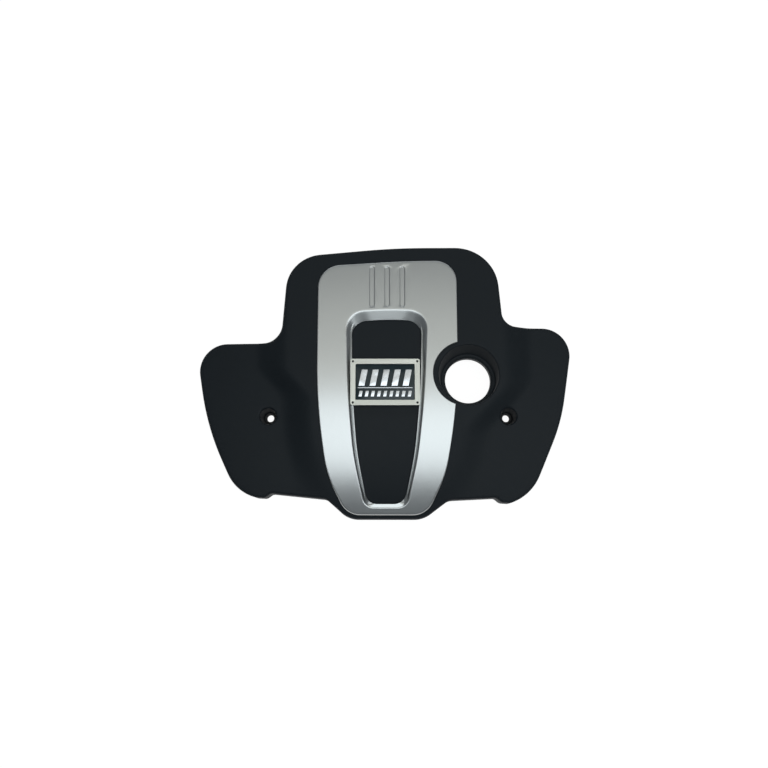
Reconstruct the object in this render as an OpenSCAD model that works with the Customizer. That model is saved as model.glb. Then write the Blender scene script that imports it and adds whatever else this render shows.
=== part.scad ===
// Engine cover: a black moulded shell with a silver trim frame, a badge in the
// window, an opening over the oil filler and two bolt wells. It rests on the
// rim of its skirt. Width runs along x, depth along y with the rear at +y.

/* [Shell] */
// Overall width across the engine
cover_w = 550; // [538:2:562]
// Overall length from the nose to the rear edge
cover_l = 402; // [394:1:410]
// Height of the spine's crown above the rim
crown_h = 62; // [56:1:70]
// How far the spine falls from the crown to the nose
nose_drop = 42; // [38:1:46]
// Height of the side lobes at the rear
lobe_h = 46; // [44:1:50]
// How far the lobes fall from rear to front
lobe_drop = 22; // [16:1:24]
// Width of the flank between spine and lobe
flank_w = 50; // [40:1:56]
// Thickness of the moulded skin
skin = 3; // [2.4:0.1:3.4]
// Radius of the rounded edge between top and skirt
edge_r = 4; // [2:0.5:5]
// How far the skirt flares outwards at the rim
skirt_flare = 1; // [0:0.5:2]

/* [Window pocket] */
// Depth of the black panel below the shell's surface
pocket_depth = 6; // [5:0.5:8]

/* [Oil filler opening] */
// Diameter of the opening
filler_d = 67; // [60:1:70]
// Place of the opening
filler_x = 122.5; // [120:0.5:124]
filler_y = 1; // [-2:0.5:4]
// Diameter of the dish at its ledge
dish_d = 80; // [76:1:84]
// Height of the ledge above the rim
ledge_z = 44; // [42:1:47]
// Length of the collar below the ledge
collar_h = 12; // [8:1:20]
// Diameter of the dish at the crown's height
dish_rim_d = 88; // [85:1:91]
// Offset of the dish's rim from the opening
dish_rim_x = -0.5; // [-2:0.5:1]
dish_rim_y = 6.5; // [4:0.5:7]

/* [Bolt wells] */
// Distance between the two bolts
bolt_pitch = 350; // [346:1:354]
// Place of the middle of the bolt line
bolt_mid_x = 5.6; // [2:0.1:9]
bolt_y = -51.8; // [-56:0.2:-48]
// Diameter of the well at the surface
well_d = 26; // [24:1:28]
// Diameter of the well's floor
well_floor_d = 17.4; // [16.6:0.2:19]
// Depth of the well
well_depth = 25; // [20:1:26]
// Diameter of the bore in the rubber grommet
bolt_bore_d = 10.6; // [9.6:0.2:12]
// Wall of the grommet's neck
grommet_wall = 1.5; // [1:0.1:1.8]

/* [Trim frame] */
// Height of the trim above the shell's surface
trim_rise = 3; // [2.6:0.1:4]
// Gap between trim and shell
trim_gap = 0.3; // [0.2:0.05:0.5]
// Depth of the trim's inner lip below the shell's surface
lip_depth = 2.4; // [1.5:0.1:3]
// Depth of the valley between the lip and the window's steep edge
valley_depth = 1; // [0.2:0.1:1.4]
// Radius of the cut-out round the oil filler
cutout_r = 46.5; // [45:0.1:48]
// Place of the cut-out
cutout_x = 116.8; // [115:0.1:119]
cutout_y = 6; // [4:0.1:8]
// Number of grooves at the rear
groove_n = 3; // [1:1:5]
// Width of a groove at the trim's surface
groove_w = 7.6; // [6:0.2:10]
// Width of a groove's floor
groove_floor_w = 3.4; // [2:0.2:6]
// Length of a groove
groove_l = 62; // [40:1:64]
// Depth of a groove
groove_depth = 1.8; // [0.6:0.1:2]
// Distance between grooves
groove_pitch = 22.3; // [12:0.1:24]
// Diameter of the studs under the trim
stud_d = 5; // [4:0.5:6]

/* [Badge] */
// Width of the badge frame
badge_w = 100; // [92:1:102]
// Depth of the badge frame
badge_d = 67; // [50:1:72]
// Height of the badge frame
badge_h = 4.6; // [4:0.2:6]
// Width of the frame's border
badge_border = 7.3; // [6:0.1:10]
// Place of the badge
badge_x = 0.9; // [0:0.1:3]
badge_y = -4.6; // [-9:0.1:0]
// Height of the pad under the badge above the black panel
pad_h = 5; // [4.6:0.1:6]
// How far the badge leans forwards, in degrees
badge_tilt = 3; // [2:0.5:4]
// Diameter of the four pins
pin_d = 3.4; // [2:0.2:4]

/* [Underside] */
// Thickness of the ribs
rib_t = 2; // [1.5:0.1:3]
// Height of the ribs below the skin
rib_h = 9; // [4:1:12]
// Outer diameter of the sockets of the rear buffers
socket_d = 26; // [24:1:28]
// Diameter of the ball stud that a rear buffer takes
ball_d = 10; // [8:0.5:11]

/* [Hidden] */
$fn = 48;

shell_black = [0.12, 0.13, 0.14];
trim_silver = [0.80, 0.81, 0.81];
frame_cream = [0.74, 0.74, 0.68];
panel_dark = [0.14, 0.26, 0.28];
chrome = [0.85, 0.87, 0.88];
rubber_black = [0.08, 0.08, 0.08];
spring_steel = [0.55, 0.56, 0.58];

half_w = cover_w / 2;
half_l = cover_l / 2;
badge_left = badge_x - badge_w / 2;
badge_right = badge_x + badge_w / 2;

// Corners of the four outlines, anticlockwise from the rear left: x, y, radius.
// They are matched: each point of one has its partner on the next one inwards.
shell_corners = [
    [-142.8, half_l - 16, 55], [-151.6, 57, 26], [-half_w - 5.9, 56.6, 40],
    [-half_w + 15.7, -66.5, 400], [-half_w + 59, -159.5, 61], [-half_w + 89, -168.3, 14],
    [-half_w + 102, -169, 8], [-half_w + 110.4, -162.6, 8], [-84, -170.8, 15],
    [-52, -half_l + 1.6, 38], [57, -half_l + 1.5, 40], [93, -172.4, 20],
    [half_w - 113.5, -169, 8], [half_w - 105.5, -175.6, 8], [half_w - 93, -176.5, 12],
    [half_w - 61, -164.6, 70], [half_w - 15.7, -58, 280],
    [half_w + 7.6, 81, 40], [174, 80.2, 20], [164.2, half_l - 0.7, 64],
    [15, half_l - 1.2, 1000]];
shell_facets = [5, 5, 6, 3, 3, 2, 2, 2, 2, 4, 4, 2, 2, 2, 2, 3, 3, 6, 5, 5, 2];
shell_cuts = [3, 2, 1, 0, 0, 0, 0, 2, 0, 3, 0, 2, 0, 0, 0, 1, 2, 2, 3, 3, 4];
// The window and the panel keep their distance from the badge's two sides.
trim_corners = [
    [-98, half_l - 31.8, 34], [-97.6, -33, 900], [-83.2, -135.8, 180],
    [-55, -half_l + 7.5, 32], [61.5, -half_l + 7.3, 32], [88.5, -134.5, 180],
    [106, -26.5, 900], [106.7, half_l - 22.9, 32], [30, half_l - 23.5, 1200]];
window_corners = [
    [badge_left - 11.4, 98.2, 27], [badge_left - 7.1, -20, 1300], [-45.9, -108, 450],
    [-29.3, -half_l + 17, 16], [32.8, -half_l + 17, 16], [48.2, -108, 450],
    [badge_right + 6.4, -20, 1300],
    [badge_right + 13.1, 100.2, 27], [3, 102.2, 500]];
panel_corners = [
    [badge_left - 1.2, 86, 22], [badge_left + 0.8, -20, 1300], [-39.2, -106.5, 450],
    [-24.5, -half_l + 22.6, 17], [28.6, -half_l + 22.6, 18], [43.4, -106.5, 450],
    [badge_right + 0.2, -20, 1300],
    [badge_right + 3.5, 87.8, 22], [3, 89.6, 400]];
trim_facets = [5, 25, 5, 4, 4, 4, 24, 5, 2];
trim_cuts = [9, 0, 0, 3, 2, 0, 11, 3, 4];

window_mid = [3, -40];
groove_y = half_l - 63;
axis_x = 4;
crown_y = 55;
front_y = -half_l + 6;

bolts = [[bolt_mid_x - bolt_pitch / 2, bolt_y], [bolt_mid_x + bolt_pitch / 2, bolt_y]];
studs = [[-84, half_l - 73], [92, half_l - 67], [-84, 4], [-74, -92], [84, -92], [-78, 70]];
buffers = [[-118, half_l - 61], [138, half_l - 51]];

grommet_hole_d = bolt_bore_d + 2 * grommet_wall;
stud_clear = 0.4;
retainer_d = 15;
retainer_t = 1.2;
panel_t = 2.4;
rib_cuts = 20;
// How deep a part that meets the skin from below ends under its outer face
seat_in_skin = 1.4;
plug_d = socket_d - 6;

// The shell's surface

function smooth(t) = let (u = min(1, max(0, t))) u * u * (3 - 2 * u);
// How far a point lies on the way from the crown to the front
function ahead(y) = max(0, (crown_y - y) / (crown_y - front_y));
function spine_z(y) = crown_h - nose_drop * pow(ahead(y), 2.5);
function lobe_z(x, y) =
    lobe_h - lobe_drop * pow(ahead(y), 2.2) - 6 * pow(max(0, (abs(x) - 140) / 130), 2);
// Half width of the spine: it widens at the rear on the left and round the filler
function spine_w(x, y) =
    102 - 45 * pow(max(0, (-34 - y) / 160), 2.2)
    + (x < 0 ? 38 * smooth((y + 34) / 60) : 60 * smooth((y + 84) / 90));
function top_z(x, y) =
    spine_z(y) + (lobe_z(x, y) - spine_z(y)) * smooth((abs(x - axis_x) - spine_w(x, y) - 4) / flank_w);

// Rounded outlines: each point is x, y and the outward normal

function unit(v) = v / norm(v);
function flat(p) = [p[0], p[1]];
function wrap(i, n) = (i + n) % n;
function corner_turn(a, p, b) =
    let (u = flat(p) - flat(a), v = flat(b) - flat(p)) atan2(cross(u, v), u * v);
function corner_arc(a, p, b, m) =
    let (u = unit(flat(a) - flat(p)), v = unit(flat(b) - flat(p)),
        turn = corner_turn(a, p, b), half = (180 - abs(turn)) / 2,
        c = flat(p) + unit(u + v) * p[2] / sin(half), side = sign(turn),
        start = flat(p) + u * p[2] / tan(half) - c, from = atan2(start.y, start.x))
    [for (i = [0:m]) let (w = from + turn * i / m)
        [c.x + p[2] * cos(w), c.y + p[2] * sin(w), side * cos(w), side * sin(w)]];
function outline(corners, facets, cuts) =
    let (n = len(corners),
        arcs = [for (i = [0:n - 1])
            corner_arc(corners[wrap(i - 1, n)], corners[i], corners[wrap(i + 1, n)], facets[i])])
    [for (i = [0:n - 1])
        let (p = arcs[i][facets[i]], q = arcs[wrap(i + 1, n)][0])
        each concat(arcs[i], [for (j = [1:1:cuts[i]]) p + (q - p) * j / (cuts[i] + 1)])];
// Rings of a loft: an outline moved outwards by grow, dropped onto the surface or at a height
function grown(ring, grow) = [for (p = ring) [p[0] + p[2] * grow, p[1] + p[3] * grow]];
function on_top(ring, lift) = [for (p = ring) [p[0], p[1], top_z(p[0], p[1]) + lift]];
function at_z(ring, z) = [for (p = ring) [p[0], p[1], z]];
function between(a, b, t) = [for (i = [0:len(a) - 1]) flat(a[i]) * (1 - t) + flat(b[i]) * t];
function between_rings(a, b, t) = [for (i = [0:len(a) - 1]) a[i] * (1 - t) + b[i] * t];
function shrunk(ring, c, t) = [for (p = ring) c + (flat(p) - c) * t];

// A solid from rings that run from one pole outwards, round the rim and over to the other
module sheet(pole_a, rings, pole_b) {
    n = len(rings[0]);
    m = len(rings);
    polyhedron(
        points = concat([pole_a], [for (r = rings) each r], [pole_b]),
        faces = concat(
            [for (i = [0:n - 1]) [0, 1 + i, 1 + wrap(i + 1, n)]],
            [for (k = [0:m - 2], i = [0:n - 1]) each
                let (a = 1 + k * n + i, b = 1 + k * n + wrap(i + 1, n))
                [[a, a + n, b + n], [a, b + n, b]]],
            [for (i = [0:n - 1])
                [1 + (m - 1) * n + i, 1 + m * n, 1 + (m - 1) * n + wrap(i + 1, n)]]),
        convexity = 10);
}

// A solid from rings that run right round a closed section
module looped(rings) {
    n = len(rings[0]);
    m = len(rings);
    polyhedron(
        points = [for (r = rings) each r],
        faces = [for (k = [0:m - 1], i = [0:n - 1]) each
            let (a = k * n + i, b = k * n + wrap(i + 1, n),
                d = wrap(k + 1, m) * n + i, e = wrap(k + 1, m) * n + wrap(i + 1, n))
            [[a, d, e], [a, e, b]]],
        convexity = 8);
}

// The outlines in use

shell_ring = outline(shell_corners, shell_facets, shell_cuts);
trim_ring = outline(trim_corners, trim_facets, trim_cuts);
window_ring = outline(window_corners, trim_facets, trim_cuts);
panel_ring = outline(panel_corners, trim_facets, trim_cuts);
// Foot of the pocket's steep wall, hidden under the trim
pocket_ring = between_rings(window_ring, panel_ring, 0.3);

// Where the shell's rings lie between its edge and the trim, and on the panel's floor
flank_steps = [0, 0.1, 0.24, 0.38, 0.52, 0.66, 0.82, 1];
floor_steps = [0.72, 0.44, 0.18];

// One face of the skin from the panel's middle to the edge, sunk by drop
function face_rings(drop) = concat(
    [for (i = [len(floor_steps) - 1:-1:0])
        on_top(shrunk(panel_ring, window_mid, floor_steps[i]), -pocket_depth - drop)],
    [on_top(grown(panel_ring, drop * 1.2), -pocket_depth - drop)],
    [on_top(grown(pocket_ring, drop * 1.2), -pocket_depth - drop)],
    [on_top(grown(window_ring, drop * 1.2), -drop)],
    [for (i = [len(flank_steps) - 1:-1:0])
        on_top(between(grown(shell_ring, -edge_r - drop), grown(trim_ring, -drop),
            flank_steps[i]), -drop)]);
function pole(drop) =
    [window_mid.x, window_mid.y, top_z(window_mid.x, window_mid.y) - pocket_depth - drop];
function backwards(list) = [for (i = [len(list) - 1:-1:0]) list[i]];

// The moulded skin with its skirt and the sunk panel, as one closed sheet
module skin_sheet() {
    sheet(pole(skin),
        concat(
            face_rings(skin),
            [on_top(grown(shell_ring, -skin), -edge_r - skin)],
            [at_z(grown(shell_ring, skirt_flare - skin), 0)],
            [at_z(grown(shell_ring, skirt_flare), 0)],
            [on_top(shell_ring, -edge_r)],
            [on_top(grown(shell_ring, -0.3 * edge_r), -0.3 * edge_r)],
            backwards(face_rings(0))),
        pole(0));
}

// The dish round the oil filler: its top disc leans with the crown and lies at z
module dish(grow, z, lean) {
    slope = (dish_rim_d - dish_d) / 2 / (crown_h - ledge_z);
    up = (z - ledge_z) / (crown_h - ledge_z);
    hull() {
        translate([filler_x + dish_rim_x * up, filler_y + dish_rim_y * up, z])
            rotate([lean, 0, 0])
            cylinder(r = dish_d / 2 + slope * (z - ledge_z) + grow, h = 0.01, $fn = 64);
        translate([filler_x, filler_y, ledge_z - grow])
            cylinder(r = dish_d / 2 - slope * grow + grow, h = 0.01, $fn = 64);
    }
}

// The two halves of a bolt well: its top lies inside the skin
module well_body(p) {
    z = top_z(p.x, p.y);
    translate([p.x, p.y, z - well_depth - skin])
        cylinder(r1 = well_floor_d / 2 + skin - 0.6, r2 = well_d / 2 + skin - 0.6,
            h = well_depth + skin - seat_in_skin);
}
module well_cut(p) {
    z = top_z(p.x, p.y);
    translate([p.x, p.y, z - well_depth])
        cylinder(r1 = well_floor_d / 2, r2 = well_d / 2 - 1, h = well_depth - 2.5);
    translate([p.x, p.y, z - 2.5]) cylinder(r1 = well_d / 2 - 1, r2 = well_d / 2 + 2, h = 5);
    translate([p.x, p.y, z - well_depth - skin - 1])
        cylinder(d = grommet_hole_d, h = skin + 2);
}

// Ribs that follow the skin, their upper edge inside it
module rib_along_y(x, y0, y1) {
    ys = [for (i = [0:rib_cuts]) y0 + (y1 - y0) * i / rib_cuts];
    translate([x + rib_t / 2, 0, 0]) rotate([90, 0, -90]) linear_extrude(rib_t)
        polygon(concat([for (y = ys) [-y, top_z(x, y) - skin - rib_h]],
            [for (y = backwards(ys)) [-y, top_z(x, y) - seat_in_skin]]));
}
module rib_along_x(y, x0, x1) {
    xs = [for (i = [0:rib_cuts]) x0 + (x1 - x0) * i / rib_cuts];
    translate([0, y + rib_t / 2, 0]) rotate([90, 0, 0]) linear_extrude(rib_t)
        polygon(concat([for (x = xs) [x, top_z(x, y) - skin - rib_h]],
            [for (x = backwards(xs)) [x, top_z(x, y) - seat_in_skin]]));
}

// What stands under the skin
module underside() {
    dish(skin, top_z(filler_x + dish_rim_x, filler_y + dish_rim_y) - seat_in_skin, 2.4);
    translate([filler_x, filler_y, ledge_z - collar_h])
        cylinder(d = filler_d + 2 * skin, h = collar_h - skin / 2);
    for (p = bolts) well_body(p);
    for (p = studs) translate([p.x, p.y, top_z(p.x, p.y) - skin - 2])
        cylinder(d = retainer_d + 3, h = 2 + skin - seat_in_skin);
    for (p = buffers) translate([p.x, p.y, crown_h - 34])
        cylinder(d = socket_d, h = top_z(p.x, p.y) - crown_h + 34 - seat_in_skin);
    rib_along_y(-122, -148, 50);
    rib_along_y(-half_w + 71, -140, 46);
    rib_along_y(half_w - 69, -140, 70);
    rib_along_y(118, -150, -62);
    rib_along_x(-110, -half_w + 47, -84);
    rib_along_x(-110, 92, half_w - 47);
    rib_along_x(22, -half_w + 17, -106);
    rib_along_x(118, -140, badge_left - 15.2);
    rib_along_x(118, badge_right + 16.8, 162);
    rib_along_x(half_l - 37, -136, 160);
}

module cover_shell() {
    color(shell_black)
    difference() {
        union() {
            skin_sheet();
            underside();
            on_badge() translate([0, 0, -pad_h - skin / 2])
                rounded_box(badge_w - 12, badge_d - 4, pad_h + skin / 2, 3);
        }
        dish(0, crown_h + 4, 0);
        translate([filler_x, filler_y, ledge_z - collar_h - 1])
            cylinder(d = filler_d, h = collar_h + 10);
        for (p = bolts) well_cut(p);
        for (p = studs) translate([p.x, p.y, 0])
            cylinder(d = stud_d + 2 * stud_clear, h = crown_h + 9);
        for (p = buffers) translate([p.x, p.y, 0]) cylinder(d = plug_d, h = crown_h - 34 + 16);
    }
}

module silver_trim() {
    color(trim_silver)
    difference() {
        union() {
            looped([
                on_top(trim_ring, trim_gap),
                on_top(trim_ring, trim_rise - 0.8),
                on_top(grown(trim_ring, -0.8), trim_rise),
                on_top(between(trim_ring, window_ring, 0.35), trim_rise),
                on_top(between(trim_ring, window_ring, 0.7), trim_rise),
                on_top(grown(window_ring, 0.4), trim_rise),
                on_top(between(window_ring, panel_ring, 0.06), trim_rise - 0.8),
                on_top(between(window_ring, panel_ring, 0.42), -lip_depth - valley_depth),
                on_top(between(window_ring, panel_ring, 0.5), -lip_depth - valley_depth),
                on_top(between(window_ring, panel_ring, 0.58), -lip_depth),
                on_top(panel_ring, -lip_depth),
                on_top(panel_ring, trim_gap - pocket_depth),
                on_top(between(window_ring, panel_ring, 0.35), trim_gap - pocket_depth),
                on_top(between(window_ring, panel_ring, 0.04), trim_gap),
                on_top(between(trim_ring, window_ring, 0.7), trim_gap),
                on_top(between(trim_ring, window_ring, 0.35), trim_gap)]);
            for (p = studs) translate([p.x, p.y, top_z(p.x, p.y) - skin - 8])
                cylinder(d = stud_d, h = skin + 9);
        }
        translate([cutout_x, cutout_y, 20]) cylinder(r = cutout_r, h = 80, $fn = 96);
        for (i = [0:groove_n - 1])
            groove(axis_x + (i - (groove_n - 1) / 2) * groove_pitch);
    }
}

// One round-ended groove at the trim's rear: it widens from its floor to the surface
module groove(x) {
    reach = (groove_l - groove_w) / 2;
    slope = (groove_w - groove_floor_w) / 2 / groove_depth;
    hull() for (y = [-reach, reach])
        translate([x, groove_y + y, crown_h + trim_rise - groove_depth])
        cylinder(r1 = groove_floor_w / 2, r2 = groove_w / 2 + slope, h = groove_depth + 1);
}

module trim_retainers() {
    color(spring_steel)
    for (p = studs) translate([p.x, p.y, top_z(p.x, p.y) - skin - 2 - retainer_t])
        difference() {
            cylinder(d = retainer_d, h = retainer_t);
            translate([0, 0, -1]) cylinder(d = stud_d + 0.1, h = retainer_t + 2);
        }
}

// Puts what follows on the badge's leaning seat
module on_badge() {
    translate([badge_x, badge_y, top_z(badge_x, badge_y) - pocket_depth + pad_h])
        rotate([badge_tilt, 0, 0]) children();
}

module badge_frame() {
    w = badge_w;
    d = badge_d;
    b = badge_border;
    color(frame_cream) on_badge() difference() {
        rounded_box(w, d, badge_h, 3);
        translate([0, 0, -1]) rounded_box(w - 2 * b, d - 2 * b, badge_h + 2, 1.5);
        pin_places() translate([0, 0, badge_h - 3]) cylinder(d = pin_d, h = 4);
    }
}

module rounded_box(w, d, h, r) {
    translate([-w / 2 + r, -d / 2, 0]) cube([w - 2 * r, d, h]);
    translate([-w / 2, -d / 2 + r, 0]) cube([w, d - 2 * r, h]);
    for (x = [-w / 2 + r, w / 2 - r], y = [-d / 2 + r, d / 2 - r])
        translate([x, y, 0]) cylinder(r = r, h = h);
}

module pin_places() {
    for (x = [-1, 1], y = [-1, 1])
        translate([x * (badge_w - badge_border) / 2, y * (badge_d - badge_border) / 2, 0])
            children();
}

module badge_pins() {
    color(rubber_black) on_badge() pin_places()
        translate([0, 0, badge_h - 3]) cylinder(d = pin_d, h = 2.6);
}

module badge_panel() {
    w = badge_w - 2 * badge_border - 0.6;
    d = badge_d - 2 * badge_border - 0.6;
    color(panel_dark) on_badge() rounded_box(w, d, panel_t, 1.2);
}

// Two rows of leaning bars with a line between them, all in shares of the free field
module badge_relief() {
    w = badge_w - 2 * badge_border - 6;
    d = badge_d - 2 * badge_border - 6;
    color(chrome) on_badge() translate([0, 0, panel_t]) {
        for (i = [0:4]) translate([(i - 2) * w / 5, 0.13 * d, 0]) bar(0.117 * w, 0.52 * d);
        translate([-w / 2, -0.2 * d, 0]) cube([w, 0.035 * d, 1.2]);
        for (i = [0:8]) translate([(i - 4) * w / 9, -0.37 * d, 0]) bar(0.065 * w, 0.19 * d);
    }
}

// One leaning bar of the relief
module bar(w, d) {
    lean = 0.2 * d;
    linear_extrude(1.4) polygon([[-w / 2 - lean / 2, -d / 2], [w / 2 - lean / 2, -d / 2],
        [w / 2 + lean / 2, d / 2], [-w / 2 + lean / 2, d / 2]]);
}

module bolt_grommet(p) {
    floor_z = top_z(p.x, p.y) - well_depth;
    color(rubber_black) translate([p.x, p.y, floor_z - skin]) difference() {
        union() {
            cylinder(d = grommet_hole_d - 0.1, h = skin);
            translate([0, 0, skin]) cylinder(d = well_floor_d - 0.8, h = 1.4);
            translate([0, 0, -1.6]) cylinder(d = grommet_hole_d + 3, h = 1.6);
        }
        translate([0, 0, -3]) cylinder(d = bolt_bore_d, h = skin + 6);
    }
}
module bolt_grommet_left() { bolt_grommet(bolts[0]); }
module bolt_grommet_right() { bolt_grommet(bolts[1]); }

module rear_buffer(p) {
    color(rubber_black) translate([p.x, p.y, crown_h - 34]) difference() {
        union() {
            translate([0, 0, -4]) cylinder(d = socket_d, h = 4);
            cylinder(d = plug_d - 0.4, h = 15);
        }
        translate([0, 0, -5]) cylinder(d = ball_d, h = 14);
    }
}
module rear_buffer_left() { rear_buffer(buffers[0]); }
module rear_buffer_right() { rear_buffer(buffers[1]); }

cover_shell();
silver_trim();
trim_retainers();
badge_frame();
badge_panel();
badge_relief();
badge_pins();
bolt_grommet_left();
bolt_grommet_right();
rear_buffer_left();
rear_buffer_right();
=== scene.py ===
# %% [markdown]
# # An engine cover, dressed
# The cover is a black moulded shell with a silver trim frame clipped onto it. A framed badge
# stands in the trim's window. An opening clears the oil filler, and two wells take the bolts.
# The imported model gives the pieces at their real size. This notebook gives them their finish:
# the shell and the trim are modelled again with round edges, and every surface gets a material.

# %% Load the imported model
import math

import bmesh
import bpy
from mathutils import Matrix, Vector


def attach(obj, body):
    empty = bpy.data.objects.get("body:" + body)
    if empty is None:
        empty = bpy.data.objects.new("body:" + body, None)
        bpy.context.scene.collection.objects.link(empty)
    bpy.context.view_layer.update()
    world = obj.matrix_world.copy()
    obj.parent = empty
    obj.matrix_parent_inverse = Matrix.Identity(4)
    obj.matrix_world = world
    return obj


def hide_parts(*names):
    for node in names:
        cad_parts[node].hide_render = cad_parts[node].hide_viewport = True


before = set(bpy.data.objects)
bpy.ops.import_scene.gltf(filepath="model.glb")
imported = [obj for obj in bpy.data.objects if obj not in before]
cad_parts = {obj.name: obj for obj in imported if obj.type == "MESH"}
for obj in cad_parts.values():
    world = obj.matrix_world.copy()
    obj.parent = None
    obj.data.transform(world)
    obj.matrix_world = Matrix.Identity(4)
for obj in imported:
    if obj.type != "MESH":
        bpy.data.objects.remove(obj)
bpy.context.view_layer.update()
MM = 0.001
print("nodes:", ", ".join(sorted(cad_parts)))

# %% [markdown]
# ## The surface
# Spine and lobes are one smooth surface: a height over the plan. Writing it as a function lets
# the shell, the trim, the ribs and the wells all follow it, in the same millimetres as the
# drawing. The spine falls to the nose, and a flank blends it into the lobes at either side.

# %% Height of the surface over the plan, in millimetres
CROWN_H, CROWN_Y, FRONT_Y = 62, 55, -195
NOSE_DROP, NOSE_CURVE = 42, 2.5
LOBE_H, LOBE_DROP, LOBE_CURVE = 46, 22, 2.2
LOBE_SAG, LOBE_SAG_X, LOBE_SAG_W = 6, 140, 130
SPINE_W, WAIST_Y = 102, -34
TAPER, TAPER_L, TAPER_CURVE = 45, 160, 2.2
LEFT_SPREAD, LEFT_SPREAD_L = 38, 60
RIGHT_SPREAD, RIGHT_SPREAD_L, RIGHT_SPREAD_Y = 60, 90, -84
FLANK_W, FLANK_START = 50, 4
AXIS_X = 4


def smooth(t):
    """Rises from 0 to 1 with level ends."""
    u = min(1, max(0, t))
    return u * u * (3 - 2 * u)


def ahead(y):
    """How far a place lies on the way from the crown to the front."""
    return max(0, (CROWN_Y - y) / (CROWN_Y - FRONT_Y))


def spine_z(y):
    return CROWN_H - NOSE_DROP * ahead(y) ** NOSE_CURVE


def lobe_z(x, y):
    """The lobes fall to the front and sag towards their tips."""
    sag = LOBE_SAG * max(0, (abs(x) - LOBE_SAG_X) / LOBE_SAG_W) ** 2
    return LOBE_H - LOBE_DROP * ahead(y) ** LOBE_CURVE - sag


def spine_w(x, y):
    """Half width of the spine, wider at the rear on the left and round the filler."""
    narrow = SPINE_W - TAPER * max(0, (WAIST_Y - y) / TAPER_L) ** TAPER_CURVE
    left = LEFT_SPREAD * smooth((y - WAIST_Y) / LEFT_SPREAD_L)
    right = RIGHT_SPREAD * smooth((y - RIGHT_SPREAD_Y) / RIGHT_SPREAD_L)
    return narrow + (left if x < 0 else right)


def top_z(x, y):
    share = smooth((abs(x - AXIS_X) - spine_w(x, y) - FLANK_START) / FLANK_W)
    return spine_z(y) + (lobe_z(x, y) - spine_z(y)) * share


print("height at the crown and at the nose:", spine_z(CROWN_Y), round(spine_z(FRONT_Y), 1))

# %% [markdown]
# ## Outlines
# Each outline is a list of corners with a radius, as a draughtsman would give it. The corners of
# the trim, the window and the panel are matched, so that a ring of points on one has its partners
# on the next, and a skin can be drawn from ring to ring without twisting.

# %% The corners: x, y and radius, anticlockwise from the rear left
BADGE_X, BADGE_Y, BADGE_W, BADGE_D = 0.9, -4.6, 100, 67
BADGE_LEFT, BADGE_RIGHT = BADGE_X - BADGE_W / 2, BADGE_X + BADGE_W / 2
SHELL_CORNERS = [
    (-142.8, 185, 55), (-151.6, 57, 26), (-280.9, 56.6, 40), (-259.3, -66.5, 400),
    (-216, -159.5, 61), (-186, -168.3, 14), (-173, -169, 8), (-164.6, -162.6, 8),
    (-84, -170.8, 15), (-52, -199.4, 38), (57, -199.5, 40), (93, -172.4, 20), (161.5, -169, 8),
    (169.5, -175.6, 8), (182, -176.5, 12), (214, -164.6, 70), (259.3, -58, 280),
    (282.6, 81, 40), (174, 80.2, 20), (164.2, 200.3, 64), (15, 199.8, 1000)]
TRIM_CORNERS = [
    (-98, 169.2, 34), (-97.6, -33, 900), (-83.2, -135.8, 180), (-55, -193.5, 32),
    (61.5, -193.7, 32), (88.5, -134.5, 180), (106, -26.5, 900), (106.7, 178.1, 32),
    (30, 177.5, 1200)]
WINDOW_CORNERS = [
    (BADGE_LEFT - 7.5, 98.2, 27), (BADGE_LEFT - 3.9, -20, 1300), (-45.2, -108, 450),
    (-28.8, -182.4, 16), (32.5, -182.4, 16), (48, -108, 450), (BADGE_RIGHT + 6.5, -20, 1300),
    (BADGE_RIGHT + 12, 100.2, 27), (3, 102.2, 500)]
PANEL_CORNERS = [
    (BADGE_LEFT + 1.1, 86, 22), (BADGE_LEFT + 3.1, -20, 1300), (-39.2, -106.5, 450),
    (-24.6, -177.6, 17), (28.4, -177.6, 18), (43.4, -106.5, 450), (BADGE_RIGHT + 0.4, -20, 1300),
    (BADGE_RIGHT + 3.7, 87.8, 22), (3, 89.6, 400)]
print("corners:", len(SHELL_CORNERS), "on the shell and", len(TRIM_CORNERS), "on the trim")

# %% [markdown]
# A corner becomes an arc of short pieces, and a straight stretch is cut now and then, so that it
# can follow the surface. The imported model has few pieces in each. Here each of them is split in
# three, because a highlight shows every kink.

# %% From corners to a ring of points
SHELL_FACETS = [5, 5, 6, 3, 3, 2, 2, 2, 2, 4, 4, 2, 2, 2, 2, 3, 3, 6, 5, 5, 2]
SHELL_CUTS = [3, 2, 1, 0, 0, 0, 0, 2, 0, 3, 0, 2, 0, 0, 0, 1, 2, 2, 3, 3, 4]
TRIM_FACETS = [5, 25, 5, 4, 4, 4, 24, 5, 2]
TRIM_CUTS = [9, 0, 0, 3, 2, 0, 11, 3, 4]
FINE = 3


def corner_arc(before, corner, after, steps):
    """The arc that rounds a corner: points, each with its outward normal."""
    point = Vector(corner[:2])
    back, on = Vector(before[:2]) - point, Vector(after[:2]) - point
    turn = math.atan2((-back).cross(on), (-back).dot(on))
    half = (math.pi - abs(turn)) / 2
    middle = point + (back.normalized() + on.normalized()).normalized() * corner[2] / math.sin(half)
    start = point + back.normalized() * corner[2] / math.tan(half) - middle
    first = math.atan2(start.y, start.x)
    arc = []
    for step in range(steps + 1):
        way = first + turn * step / steps
        out = Vector((math.cos(way), math.sin(way)))
        arc.append((middle + out * corner[2], out * math.copysign(1, turn)))
    return arc


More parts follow.
